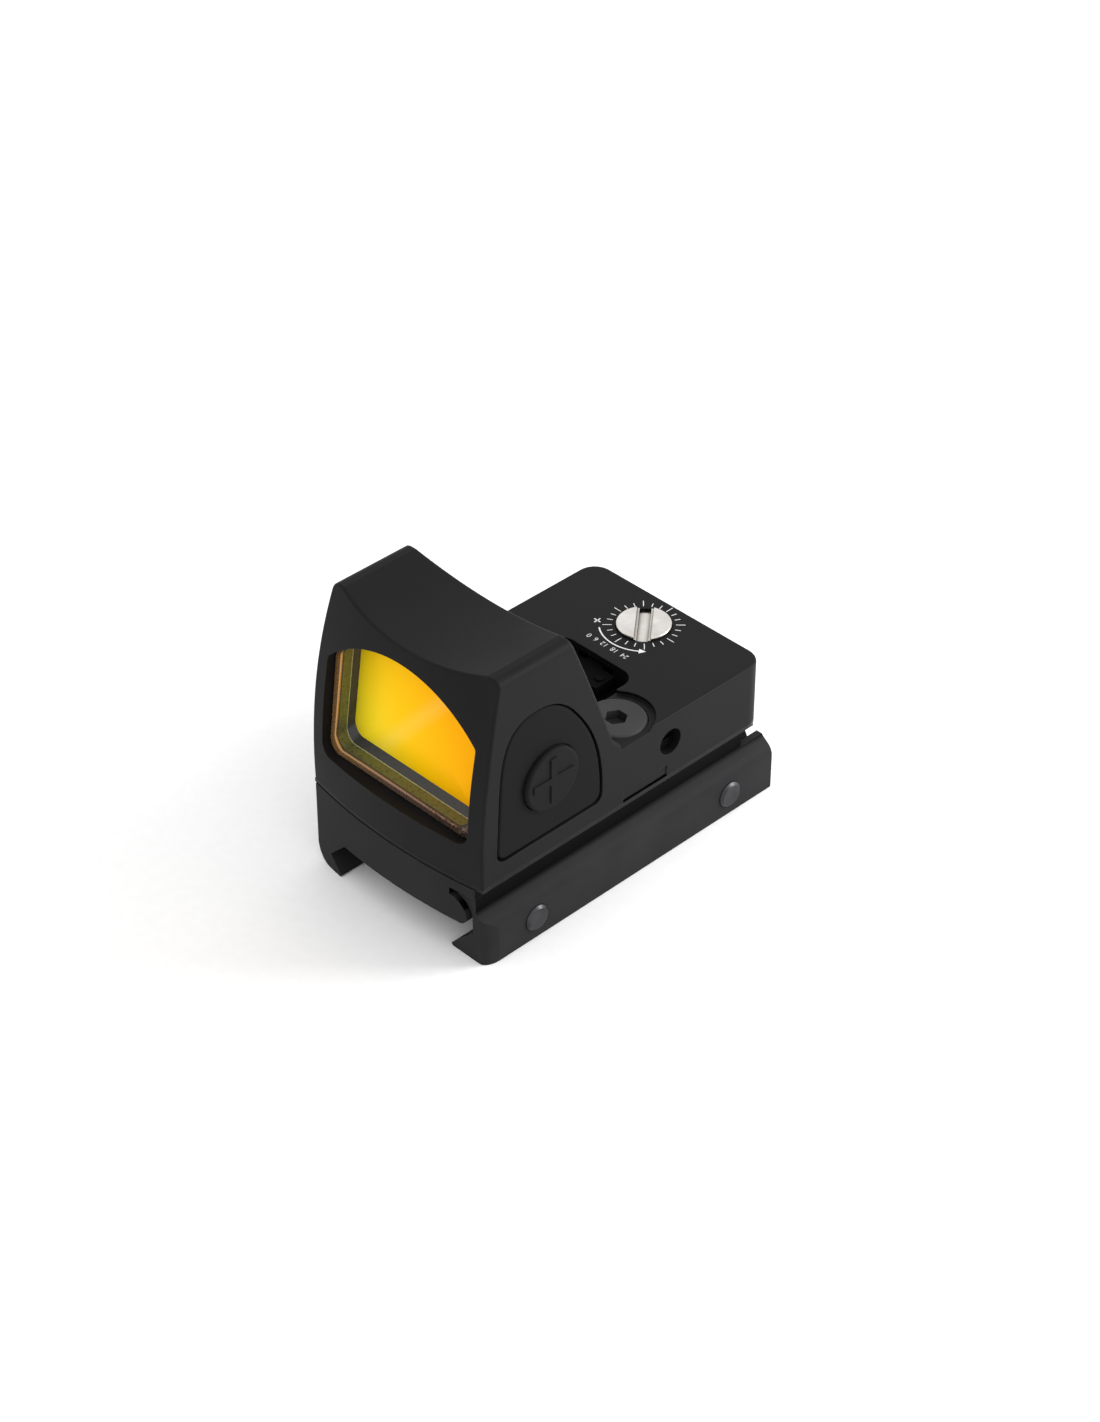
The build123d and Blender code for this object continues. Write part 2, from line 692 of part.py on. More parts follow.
def bar_plan():
    """Clamp bar from above: straight, with its front outer corner swept back in a soft curve."""
    across = 1.1
    along = 1.9
    front, rear = BAR_ENDS
    with BuildSketch() as sketch:
        with BuildLine():
            Polyline((BAR_OUTER, front + along), (BAR_OUTER, rear), (0, rear), (0, front),
                     (BAR_OUTER - across, front))
            Spline((BAR_OUTER - across, front), (BAR_OUTER, front + along), tangents=[(1, 0.35), (0.25, 1)])
        make_face()
    return sketch.sketch


def clamp_bar():
    """Sliding half of the clamp: jaw, outer wall, sloped shoulder, recess and guide tongue."""
    lip = 8.85
    hollow = 2.3
    shoulder = (4.7, 6.8)
    top_x = 13.2
    foot = 0.12
    tongue = (SLOT[0] + 0.07, SLOT[1] - 0.07)
    with BuildSketch() as sketch:
        with BuildLine():
            Polyline((BAR_INNER, tongue[0] - hollow), (BAR_INNER, BAR_INNER - lip + 0.3), (lip, 0.3),
                     (lip + 0.3, 0), (BAR_OUTER - foot, 0), (BAR_OUTER, foot), (BAR_OUTER, shoulder[0]))
            Spline((BAR_OUTER, shoulder[0]), (top_x, shoulder[1]), tangents=[(0, 1), (-1, 0.75)])
            Polyline((top_x, shoulder[1]), (STEP_X, STEP_Z), (STEP_X, tongue[1]), (TONGUE_END, tongue[1]),
                     (TONGUE_END, tongue[0]), (BAR_INNER - hollow, tongue[0]))
            RadiusArc((BAR_INNER - hollow, tongue[0]), (BAR_INNER, tongue[0] - hollow), hollow)
        make_face()
    front, rear = BAR_ENDS
    bar = prism_y(sketch.sketch, BAR_ENDS)
    bar &= extrude(bar_plan(), seam)
    bar -= block((0, BAR_INNER), (SCREW_Y - 2.7, SCREW_Y + 2.7), (STEP_Z - 1.1, seam))
    tongue_half = SLOT_HALF - 0.4
    for y in ((front - 1, -tongue_half), (tongue_half, rear + 1)):
        bar -= block((0, BAR_INNER - hollow), y, (tongue[0] - 1, seam))
    bar -= block((0, STEP_X + 1), (half_length - CORNER_ROUND, rear + 1), (STEP_Z, seam))
    for y in BOLT_Y:
        bar -= crosswise(BOLT_RADIUS + 0.03, y, BOLT_Z, (0, 20))
    return bar


def clamp_screw(y):
    """Cross bolt with a slotted head on the -X side and a chamfered end at +X."""
    bolt = crosswise(2.6, y, BOLT_Z, (-13.4, -11.65))
    bolt += crosswise(BOLT_RADIUS, y, BOLT_Z, (-11.8, BAR_OUTER + BOLT_PROUD))
    tip = bolt.edges().filter_by(GeomType.CIRCLE).sort_by(Axis.X)[-1]
    bolt = chamfer(tip, 0.3)
    return bolt - block((-14, -12.6), (y - 3, y + 3), (BOLT_Z - 0.4, BOLT_Z + 0.4))


nodes = {
    "housing": housing(),
    "lens_bond_ring": lens_bond_ring(),
    "front_lens_element": front_lens_element(),
    "rear_lens_element": rear_lens_element(),
    "plus_button_surround": button_surround(1),
    "minus_button_surround": button_surround(-1),
    "plus_button": button(1),
    "minus_button": button(-1),
    "plus_switch": button_switch(1),
    "minus_switch": button_switch(-1),
    "seal_plate": seal_plate(),
    "seal_gasket": seal_gasket(),
    "battery_cell": battery_cell(),
    "negative_contact": negative_contact(),
    "positive_contact": positive_contact(),
    "circuit_board": circuit_board(),
    "control_chip": control_chip(),
    "board_capacitors": board_capacitors(),
    "board_screws": board_screws(),
    "elevation_screw": elevation_screw(),
    "elevation_o_ring": elevation_o_ring(),
    "elevation_retaining_clip": elevation_retaining_clip(),
    "elevation_nut": elevation_nut(),
    "emitter_block": emitter_block(),
    "red_led": red_led(),
    "emitter_window": emitter_window(),
    "windage_carriage": windage_carriage(),
    "windage_screw": windage_screw(),
    "windage_o_ring": windage_o_ring(),
    "windage_retaining_clip": windage_retaining_clip(),
    "windage_spring": windage_spring(),
    "mounting_screws": mounting_screws(),
    "mount_base": mount_base(),
    "clamp_bar": clamp_bar(),
    "front_clamp_screw": clamp_screw(BOLT_Y[0]),
    "rear_clamp_screw": clamp_screw(BOLT_Y[1]),
}

for name, shape in nodes.items():
    export_step(shape, f"parts/{name}.step")
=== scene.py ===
from math import atan2, cos, degrees, pi, radians, sin, sqrt

import bmesh
import bpy
from mathutils import Euler, Matrix, Vector


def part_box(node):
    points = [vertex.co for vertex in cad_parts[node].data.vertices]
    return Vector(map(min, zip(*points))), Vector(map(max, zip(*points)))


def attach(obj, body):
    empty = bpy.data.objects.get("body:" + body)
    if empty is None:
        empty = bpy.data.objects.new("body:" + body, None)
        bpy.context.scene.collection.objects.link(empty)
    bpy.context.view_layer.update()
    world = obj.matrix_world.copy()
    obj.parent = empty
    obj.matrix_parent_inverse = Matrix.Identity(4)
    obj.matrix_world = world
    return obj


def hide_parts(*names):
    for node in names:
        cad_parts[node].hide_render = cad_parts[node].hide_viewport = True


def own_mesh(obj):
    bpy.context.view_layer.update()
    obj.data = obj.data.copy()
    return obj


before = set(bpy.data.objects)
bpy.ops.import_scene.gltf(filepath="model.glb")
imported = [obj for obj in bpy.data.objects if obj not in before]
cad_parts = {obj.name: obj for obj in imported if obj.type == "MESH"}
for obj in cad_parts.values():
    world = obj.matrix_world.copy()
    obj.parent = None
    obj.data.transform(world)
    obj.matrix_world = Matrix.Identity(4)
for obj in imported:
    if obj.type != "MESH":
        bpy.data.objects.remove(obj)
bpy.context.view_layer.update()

MM = 0.001

# ------------------------------------------------------------------ driving values, in millimetres
VIEW_BEARING = 45.652        # degrees from the lens's own axis, towards +X
VIEW_ELEVATION = 37.272      # degrees
VIEW_TARGET = (0.298, 1.094, 15.518)
VIEW_DISTANCE = 370
LENS_RADIUS = 75             # ball that the lens face is a patch of
LENS_LEVEL = 3               # that ball's centre above the seam
WINDOW_ARCH = 16.65          # radius of the arch over the lens window
WINDOW_LOW_CORNER = 1.55
WINDOW_HIGH_CORNER = 0.85
LENS_CORNER = 35             # degrees; lens pieces are smooth where they bend less
BAND_BACK = 0.06             # thickness of the bands round the lens edge
DIAL_PROUD = 0.45            # dial head above the deck
PRINT_SINK = 0.01            # printed marks reach this far into the deck
PRINT_RISE = 0.015           # and stand this far above it

# ------------------------------------------------------------------ places read from the frame
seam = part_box("mount_base")[1].z
dial_low, dial_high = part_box("elevation_screw")
dial_center = (dial_low + dial_high) / 2
deck = dial_high.z - DIAL_PROUD * MM
ring_low, ring_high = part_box("lens_bond_ring")
ring_middle = (ring_low.z + ring_high.z) / 2
face_radius = LENS_RADIUS * MM
face_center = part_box("housing")[0].y + face_radius
face_level = seam + LENS_LEVEL * MM


# ------------------------------------------------------------------ camera, light and floor
def add_camera():
    """Camera at the photograph's viewing angle, above the front right corner."""
    data = bpy.data.cameras.new("camera")
    data.sensor_width = 36
    data.lens = 81.8
    data.clip_start = 0.01
    data.dof.use_dof = False
    camera = bpy.data.objects.new("camera", data)
    turn = Euler((radians(90 - VIEW_ELEVATION), 0, radians(VIEW_BEARING))).to_matrix()
    place = (Vector(VIEW_TARGET) + turn @ Vector((0, 0, VIEW_DISTANCE))) * MM
    camera.matrix_world = Matrix.Translation(place) @ turn.to_4x4()
    bpy.context.scene.collection.objects.link(camera)
    bpy.context.scene.camera = camera


def add_area(name, place, size, power):
    """Soft square light that faces the middle of the object."""
    data = bpy.data.lights.new(name, "AREA")
    data.shape = "SQUARE"
    data.size = size
    data.energy = power
    light = bpy.data.objects.new(name, data)
    light.location = place
    direction = Vector((0, 0, 15 * MM)) - Vector(place)
    light.rotation_euler = direction.to_track_quat("-Z", "Y").to_euler()
    light.visible_camera = False
    bpy.context.scene.collection.objects.link(light)


def add_studio():
    """Pale surroundings and a soft light behind on the right."""
    world = bpy.data.worlds.new("studio")
    world.use_nodes = True
    shade = world.node_tree.nodes["Background"]
    shade.inputs["Color"].default_value = (1, 1, 1, 1)
    shade.inputs["Strength"].default_value = 1.17
    bpy.context.scene.world = world
    add_area("key", place=(0.125, 0.15, 0.095), size=0.09, power=0.38)
    bpy.context.scene.view_settings.view_transform = "Standard"


# ------------------------------------------------------------------ shader helpers
class Shader:
    """A node material with one Principled shader, built step by step."""

    def __init__(self, name, roughness, metallic=0.0, specular=0.5):
        self.material = bpy.data.materials.new(name)
        self.material.use_nodes = True
        self.tree = self.material.node_tree
        self.bsdf = self.tree.nodes["Principled BSDF"]
        self.bsdf.inputs["Roughness"].default_value = roughness
        self.bsdf.inputs["Metallic"].default_value = metallic
        self.bsdf.inputs["Specular IOR Level"].default_value = specular
        self.place = self.tree.nodes.new("ShaderNodeTexCoord").outputs["Object"]

    def node(self, kind, **settings):
        made = self.tree.nodes.new(kind)
        for key, value in settings.items():
            setattr(made, key, value)
        return made

    def link(self, source, target):
        self.tree.links.new(source, target)

    def noise(self, scale, detail=3.0, stretch=(1, 1, 1)):
        """Noise value; scale counts cycles per metre."""
        mapping = self.node("ShaderNodeMapping")
        mapping.inputs["Scale"].default_value = stretch
        self.link(self.place, mapping.inputs["Vector"])
        noise = self.node("ShaderNodeTexNoise")
        noise.inputs["Scale"].default_value = scale
        noise.inputs["Detail"].default_value = detail
        self.link(mapping.outputs["Vector"], noise.inputs["Vector"])
        return noise.outputs["Fac"]

    def ramp(self, value, low, high, start=0.0, end=1.0):
        """Colour that runs from low to high as the value runs from start to end."""
        ramp = self.node("ShaderNodeValToRGB")
        ramp.color_ramp.elements[0].position = start
        ramp.color_ramp.elements[1].position = end
        ramp.color_ramp.elements[0].color = (*low, 1)
        ramp.color_ramp.elements[1].color = (*high, 1)
        self.link(value, ramp.inputs["Fac"])
        return ramp.outputs["Color"]

    def mix(self, share, first, second):
        mix = self.node("ShaderNodeMix", data_type="RGBA")
        self.link(share, mix.inputs["Factor"])
        for socket, colour in ((mix.inputs[6], first), (mix.inputs[7], second)):
            if isinstance(colour, tuple):
                socket.default_value = (*colour, 1)
            else:
                self.link(colour, socket)
        return mix.outputs[2]

    def rescale(self, value, start, end, low=0.0, high=1.0):
        """Number that runs from low to high as the value runs from start to end."""
        span = self.node("ShaderNodeMapRange")
        span.inputs["From Min"].default_value = start
        span.inputs["From Max"].default_value = end
        span.inputs["To Min"].default_value = low
        span.inputs["To Max"].default_value = high
        self.link(value, span.inputs["Value"])
        return span.outputs["Result"]

    def vary(self, noise, low, high):
        """Number between low and high that follows a noise value."""
        return self.rescale(noise, 0.3, 0.7, low, high)

    def math(self, operation, first, second, third=None):
        """Result of a Math node; each operand is a socket or a number."""
        node = self.node("ShaderNodeMath", operation=operation)
        for socket, value in zip(node.inputs, (first, second, third)):
            if isinstance(value, (int, float)):
                socket.default_value = value
            elif value is not None:
                self.link(value, socket)
        return node.outputs[0]

    def along(self, axis, vector=None):
        """The X, Y or Z part of a vector, or of the place on the object."""
        split = self.node("ShaderNodeSeparateXYZ")
        self.link(self.place if vector is None else vector, split.inputs["Vector"])
        return split.outputs[axis]

    def soft_edge(self, radius):
        """Normal of a rounded edge, for bumps to start from."""
        bevel = self.node("ShaderNodeBevel", samples=6)
        bevel.inputs["Radius"].default_value = radius
        return bevel.outputs["Normal"]

    def edge_share(self, radius):
        """0 on a flat face, rising to 1 along a sharp edge."""
        flat = self.node("ShaderNodeNewGeometry").outputs["Normal"]
        dot = self.node("ShaderNodeVectorMath", operation="DOT_PRODUCT")
        self.link(self.soft_edge(radius), dot.inputs[0])
        self.link(flat, dot.inputs[1])
        return self.rescale(dot.outputs["Value"], 0.995, 0.80)

    def open_share(self, reach, closed, open_from):
        """0 deep in a recess, rising to 1 where nothing stands within reach."""
        shelter = self.node("ShaderNodeAmbientOcclusion", samples=8)
        shelter.inputs["Distance"].default_value = reach
        return self.rescale(shelter.outputs["AO"], closed, open_from)

    def painted_recess_shade(self):
        """Painted shade mask: 1 on the wall of the recess above the clamp bar, which faces +X, and 0
        elsewhere.
        """
        height = self.along("Z")
        normal = self.node("ShaderNodeNewGeometry").outputs["Normal"]
        total = self.rescale(height, seam - 3.6 * MM, seam - 3.3 * MM)
        for limit in (
            self.rescale(height, seam + 0.1 * MM, seam),
            self.rescale(self.along("X", normal), 0.3, 0.6),
            self.rescale(self.along("X"), 13.6 * MM, 13.2 * MM),
        ):
            total = self.math("MULTIPLY", total, limit)
        return total

    def bump(self, height, strength, distance, normal=None):
        bump = self.node("ShaderNodeBump")
        bump.inputs["Strength"].default_value = strength
        bump.inputs["Distance"].default_value = distance
        self.link(height, bump.inputs["Height"])
        if normal is not None:
            self.link(normal, bump.inputs["Normal"])
        return bump.outputs["Normal"]

    def finish(self, colour, roughness=None, normal=None):
        self.link(colour, self.bsdf.inputs["Base Color"])
        if roughness is not None:
            self.link(roughness, self.bsdf.inputs["Roughness"])
        if normal is not None:
            self.link(normal, self.bsdf.inputs["Normal"])
        return self.material


# ------------------------------------------------------------------ materials
def anodised(name, dark, light, worn, edge=0.12 * MM, specular=0.11, paint_recess_shade=False):
    """Bead-blasted black anodising: fine grain, cloudy sheen, paler rubbed edges; with the recess switch
    on, painted shade near black on the recess wall above the clamp bar.
    """
    s = Shader(name, 0.55, specular=specular)
    grain = s.noise(9000, 2)
    cloud = s.noise(130, 4)
    colour = s.ramp(cloud, dark, light, 0.3, 0.7)
    patches = s.noise(900, 3)
    colour = s.mix(s.math("MULTIPLY", s.edge_share(edge), patches), colour, worn)
    # painted shade: the recess wall above the clamp bar is coloured near black where shade falls
    if paint_recess_shade:
        colour = s.mix(s.painted_recess_shade(), colour, (0.0006, 0.0006, 0.0006))
    normal = s.bump(grain, 0.22, 0.02 * MM, s.soft_edge(edge))
    return s.finish(colour, s.vary(cloud, 0.50, 0.62), normal)


def rubber(name, specular):
    """Moulded rubber: dull, with a fine pebble and a faint dust haze."""
    s = Shader(name, 0.75, specular=specular)
    pebble = s.noise(5200, 3)
    haze = s.noise(260, 4)
    colour = s.ramp(haze, (0.0038, 0.0038, 0.0041), (0.0066, 0.0066, 0.0070), 0.3, 0.7)
    normal = s.bump(pebble, 0.30, 0.02 * MM, s.soft_edge(0.10 * MM))
    return s.finish(colour, s.vary(haze, 0.68, 0.80), normal)


def turned_metal(name, dark, light, low, high):
    """Plated metal with fine tool marks and a slightly uneven polish."""
    s = Shader(name, low, metallic=1.0)
    streak = s.noise(1400, 3, (1, 6, 1))
    smudge = s.noise(420, 3)
    colour = s.ramp(smudge, dark, light, 0.3, 0.7)
    normal = s.bump(streak, 0.12, 0.01 * MM, s.soft_edge(0.06 * MM))
    return s.finish(colour, s.vary(smudge, low, high), normal)


def nickel_plate():
    """Bright nickel, with painted shade: darker and browner down in its slot and under its rim."""
    s = Shader("nickel", 0.24, metallic=1.0)
    smudge = s.noise(520, 3)
    streak = s.noise(1500, 3, (1, 5, 1))
    clean = s.ramp(smudge, (0.56, 0.54, 0.51), (0.70, 0.67, 0.64), 0.3, 0.7)
    # painted shade: dark brown where the slot and the rim shelter the surface
    colour = s.mix(s.open_share(0.7 * MM, 0.45, 0.92), (0.11, 0.085, 0.06), clean)
    normal = s.bump(streak, 0.12, 0.01 * MM, s.soft_edge(0.08 * MM))
    return s.finish(colour, s.vary(smudge, 0.20, 0.32), normal)


def dull_plastic(name, dark, light, roughness, specular=0.5):
    """Moulded or coated surface with light mottling."""
    s = Shader(name, roughness, specular=specular)
    speck = s.noise(2600, 3)
    colour = s.ramp(speck, dark, light, 0.3, 0.7)
    normal = s.bump(speck, 0.15, 0.01 * MM)
    return s.finish(colour, s.vary(speck, roughness - 0.05, roughness + 0.08), normal)


def amber_coating():
    """Coating that returns amber light: lemon at -X, orange at +X, with a faint slanting painted highlight
    streak.
    """
    s = Shader("amber_coating", 0.35, metallic=0.25, specular=0.05)
    across = s.rescale(s.along("X"), ring_low.x, ring_high.x)
    height = s.rescale(s.along("Z"), ring_low.z, ring_high.z)
    lemon = (0.93, 0.74, 0.020)
    gold = (1.0, 0.57, 0.0)
    orange = (1.0, 0.43, 0.0)
    tone = s.ramp(s.math("MULTIPLY_ADD", height, 0.45, across), lemon, orange, 0.22, 1.0)
    middle = tone.node.color_ramp.elements.new(0.62)
    middle.color = (*gold, 1)
    # painted highlight: a pale slanting streak across the coating
    slant = s.math("MULTIPLY_ADD", s.along("X"), -1.15, s.along("Z"))
    band = s.rescale(slant, ring_middle - 2.2 * MM, ring_middle + 2.2 * MM)
    streak = s.ramp(band, (0, 0, 0), (0, 0, 0))
    highlight_peak = streak.node.color_ramp.elements.new(0.5)
    highlight_peak.color = (0.12, 0.12, 0.12, 1)
    colour = s.mix(streak, tone, (1.0, 0.82, 0.30))
    cloud = s.vary(s.noise(240, 3), 0.0, 0.05)
    colour = s.mix(cloud, colour, (0.80, 0.50, 0.0))
    return s.finish(colour, s.vary(s.noise(900, 2), 0.30, 0.40))


def clear_glass():
    """Polished crown glass with faint wipe marks."""
    s = Shader("clear_glass", 0.03, specular=0.5)
    s.bsdf.inputs["Transmission Weight"].default_value = 0.85
    s.bsdf.inputs["IOR"].default_value = 1.5
    wipe = s.noise(300, 3, (1, 4, 1))
    colour = s.ramp(wipe, (0.72, 0.80, 0.76), (0.84, 0.90, 0.87), 0.3, 0.7)
    return s.finish(colour, s.vary(wipe, 0.02, 0.06))


def bond_copper():
    """Copper-toned bond line: gold at -X, pinker and darker with sparkling grain at +X."""
    s = Shader("bond_copper", 0.30, metallic=0.7)
    across = s.rescale(s.along("X"), ring_low.x, ring_high.x)
    height = s.rescale(s.along("Z"), ring_low.z, ring_high.z)
    tone = s.ramp(across, (0.46, 0.25, 0.085), (0.27, 0.165, 0.115), 0.0, 0.45)
    tone = s.mix(s.rescale(height, 0.72, 0.80), tone, (0.11, 0.10, 0.05))
    grain = s.noise(3800, 4)
    specks = s.math("MULTIPLY", s.vary(grain, 0.0, 1.4), s.rescale(across, 0.45, 0.95))
    specks.node.use_clamp = True
    colour = s.mix(specks, tone, (0.012, 0.008, 0.006))
    return s.finish(colour, s.vary(grain, 0.18, 0.42), s.bump(grain, 0.25, 0.03 * MM))


def marking_paint():
    """White marking paint, a little uneven where it fills the anodised grain."""
    s = Shader("marking_paint", 0.6)
    worn = s.noise(7000, 3)
    colour = s.ramp(worn, (0.45, 0.45, 0.45), (0.68, 0.68, 0.67), 0.25, 0.5)
    return s.finish(colour, None, s.bump(worn, 0.2, 0.01 * MM))


def floor_paper():
    """Plain pale paper sweep."""
    s = Shader("floor_paper", 0.9, specular=0.05)
    fibre = s.noise(800, 3)
    colour = s.ramp(fibre, (0.90, 0.90, 0.90), (0.92, 0.92, 0.92), 0.3, 0.7)
    return s.finish(colour, None, s.bump(fibre, 0.02, 0.05 * MM))


# ------------------------------------------------------------------ mesh helpers
def make_object(name, mesh_data, material):
    piece = bpy.data.objects.new(name, mesh_data)
    piece.data.materials.append(material)
    bpy.context.scene.collection.objects.link(piece)
    return piece


def finish_mesh(name, mesh, material, corner=None):
    """Object made from a bmesh; with a corner angle, in degrees, it is smooth up to that angle."""
    bmesh.ops.recalc_face_normals(mesh, faces=mesh.faces)
    for face in mesh.faces:
        face.smooth = corner is not None
    data = bpy.data.meshes.new(name)
    mesh.to_mesh(data)
    mesh.free()
    if corner is not None:
        data.set_sharp_from_angle(angle=radians(corner))
    return make_object(name, data, material)


def add_prism(mesh, corners, low, high):
    """Upright solid on a flat outline, between two levels."""
    lower = [mesh.verts.new((p.x, p.y, low)) for p in corners]
    upper = [mesh.verts.new((p.x, p.y, high)) for p in corners]
    mesh.faces.new(upper)
    mesh.faces.new(list(reversed(lower)))
    join_rings(mesh, lower, upper)


def join_rings(mesh, first, second):
    """Faces between two closed rings with the same number of points."""
    for i in range(len(first)):
        j = (i + 1) % len(first)
        mesh.faces.new((first[i], first[j], second[j], second[i]))


def arc(center, radius, start, end, steps):
    """Points along an arc in a plane, angles in degrees."""
    points = []
    for i in range(steps + 1):
        angle = radians(start + (end - start) * i / steps)
        points.append((center[0] + radius * cos(angle), center[1] + radius * sin(angle)))
    return points


def window_outline(side, sill, crown):
    """Closed XZ outline of the lens window, set in from its sides, its sill and its arch."""
    low_corner = WINDOW_LOW_CORNER * MM
    high_corner = WINDOW_HIGH_CORNER * MM
    arch = WINDOW_ARCH * MM - crown
    half = ring_high.x - side
    low = ring_low.z + sill
    arch_center = ring_high.z - WINDOW_ARCH * MM
    corner_x = half - high_corner
    corner_z = arch_center + sqrt((arch - high_corner) ** 2 - corner_x**2)
    lean = degrees(atan2(corner_z - arch_center, corner_x))
    points = arc((half - low_corner, low + low_corner), low_corner, -90, 0, 10)
    points += arc((corner_x, corner_z), high_corner, 0, lean, 8)
    points += arc((0, arch_center), arch, lean, 180 - lean, 48)[1:-1]
    points += arc((-corner_x, corner_z), high_corner, 180 - lean, 180, 8)
    points += arc((-half + low_corner, low + low_corner), low_corner, 180, 270, 10)
    return points


def face_y(x, z, depth):
    """Y of the ball patch that lies a given depth behind the lens face."""
    radius = face_radius - depth
    return face_center - sqrt(radius**2 - x**2 - (z - face_level) ** 2)


def window_strip(name, rows, material):
    """Closed ring through rows of (side, sill and arch inset, depth), in millimetres, round the window."""
    mesh = bmesh.new()
    loops = []
    for side, sill, crown, depth in rows:
        outline = window_outline(side * MM, sill * MM, crown * MM)
        loops.append([mesh.verts.new((x, face_y(x, z, depth * MM), z)) for x, z in outline])
    for first, second in zip(loops, loops[1:] + loops[:1]):
        join_rings(mesh, first, second)
    return finish_mesh(name, mesh, material, LENS_CORNER)


def window_pane(name, insets, depth, thick, material):
    """Curved pane that fills the window outline, with a rim so that it is a closed solid."""
    mesh = bmesh.new()
    outline = window_outline(*[inset * MM for inset in insets])
    middle_z = sum(z for _, z in outline) / len(outline)
    rims = []
    for level in (depth, depth + thick):
        rings = []
        for share in (1, 0.85, 0.7, 0.55, 0.4, 0.25, 0.1):
            ring = []
            for x, z in outline:
                inner_x = x * share
                inner_z = middle_z + (z - middle_z) * share
                ring.append(mesh.verts.new((inner_x, face_y(inner_x, inner_z, level * MM), inner_z)))
            rings.append(ring)
        for first, second in zip(rings, rings[1:]):
            join_rings(mesh, first, second)
        mesh.faces.new(rings[-1])
        rims.append(rings[0])
    join_rings(mesh, *rims)
    return finish_mesh(name, mesh, material, LENS_CORNER)


# ------------------------------------------------------------------ lens
def build_lens():
    """Bond ring, the stepped edge of the lens behind it with painted reflections in its olive and bright
    bands, and the amber surface.
    """
    ring_rows = [
        (0, 0, 0, 1.9),
        (0, 0, 0, 1.25),
        (0.12, 0.12, 0.08, 1.12),
        (0.95, 0.95, 0.26, 1.12),
        (1.05, 1.05, 0.32, 1.25),
        (1.05, 1.05, 0.32, 1.9),
    ]
    ring = window_strip("bond_ring", ring_rows, bond_copper())
    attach(ring, "sight_body")
    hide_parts("lens_bond_ring")

    black = dull_plastic("edge_black", (0.002, 0.002, 0.002), (0.004, 0.004, 0.004), 0.6)
    # painted reflection: the olive band stands in for the window's side wall reflected in the lens coating,
    # and the bright band for a pale reflected line
    reflected_olive = dull_plastic("olive_painted_reflection", (0.070, 0.075, 0.030), (0.120, 0.120, 0.040), 0.30)
    reflected_bright = dull_plastic("bright_painted_reflection", (0.30, 0.30, 0.18), (0.42, 0.42, 0.26), 0.25)
    grey = dull_plastic("edge_grey", (0.018, 0.018, 0.017), (0.030, 0.030, 0.027), 0.35)
    edge_rows = [
        (1.05, 1.05, 0.32, 1.4),
        (1.12, 1.15, 0.36, 1.5),
        (1.12, 1.24, 0.36, 2.75),
        (1.12, 1.25, 0.36, 2.85),
        (1.35, 1.80, 0.95, 3.85),
    ]
    names = ("lens_gap_line", "lens_olive_painted_reflection", "lens_bright_painted_reflection", "lens_edge_grey")
    for i, (name, material) in enumerate(zip(names, (black, reflected_olive, reflected_bright, grey))):
        front, back = edge_rows[i:i + 2]
        behind = [(*[inset - BAND_BACK for inset in row[:3]], row[3]) for row in (back, front)]
        band = window_strip(name, [front, back, *behind], material)
        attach(band, "sight_body")

    pane = window_pane("amber_surface", (1.33, 1.78, 0.93), 3.85, 0.35, amber_coating())
    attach(pane, "sight_body")
    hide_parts("front_lens_element")


# ------------------------------------------------------------------ printed marks on the deck
def add_bar(mesh, center, angle, inner, outer, width, low, high):
    """Thin raised bar along a radius."""
    across = Vector((-sin(angle), cos(angle), 0)) * width / 2
    along = Vector((cos(angle), sin(angle), 0))
    base = Vector((center.x, center.y, 0))
    corners = [base + along * r + across * s for r, s in ((inner, -1), (outer, -1), (outer, 1), (inner, 1))]
    add_prism(mesh, corners, low, high)


def add_band(mesh, center, radius, width, start, end, low, high, steps=36):
    """Thin raised arc."""
    loops = []
    for i in range(steps + 1):
        angle = radians(start + (end - start) * i / steps)
        ray = Vector((cos(angle), sin(angle)))
        inner = Vector((center.x, center.y)) + ray * (radius - width / 2)
        outer = Vector((center.x, center.y)) + ray * (radius + width / 2)
        loops.append([mesh.verts.new((p.x, p.y, z)) for z in (low, high) for p in (inner, outer)])
    for first, second in zip(loops, loops[1:]):
        for a, b in ((0, 1), (1, 3), (3, 2), (2, 0)):
            mesh.faces.new((first[a], first[b], second[b], second[a]))
    for end_loop in (loops[0], loops[-1]):
        mesh.faces.new((end_loop[0], end_loop[1], end_loop[3], end_loop[2]))


def add_arrow_head(mesh, center, radius, angle, size, low, high):
    """Triangle that points along the arc."""
    ray = Vector((cos(radians(angle)), sin(radians(angle))))
    ahead = Vector((-ray.y, ray.x))
    foot = Vector((center.x, center.y)) + ray * radius
    corners = [foot + ahead * size * 1.5, foot + ray * size * 0.8, foot - ray * size * 0.8]
    add_prism(mesh, corners, low, high)


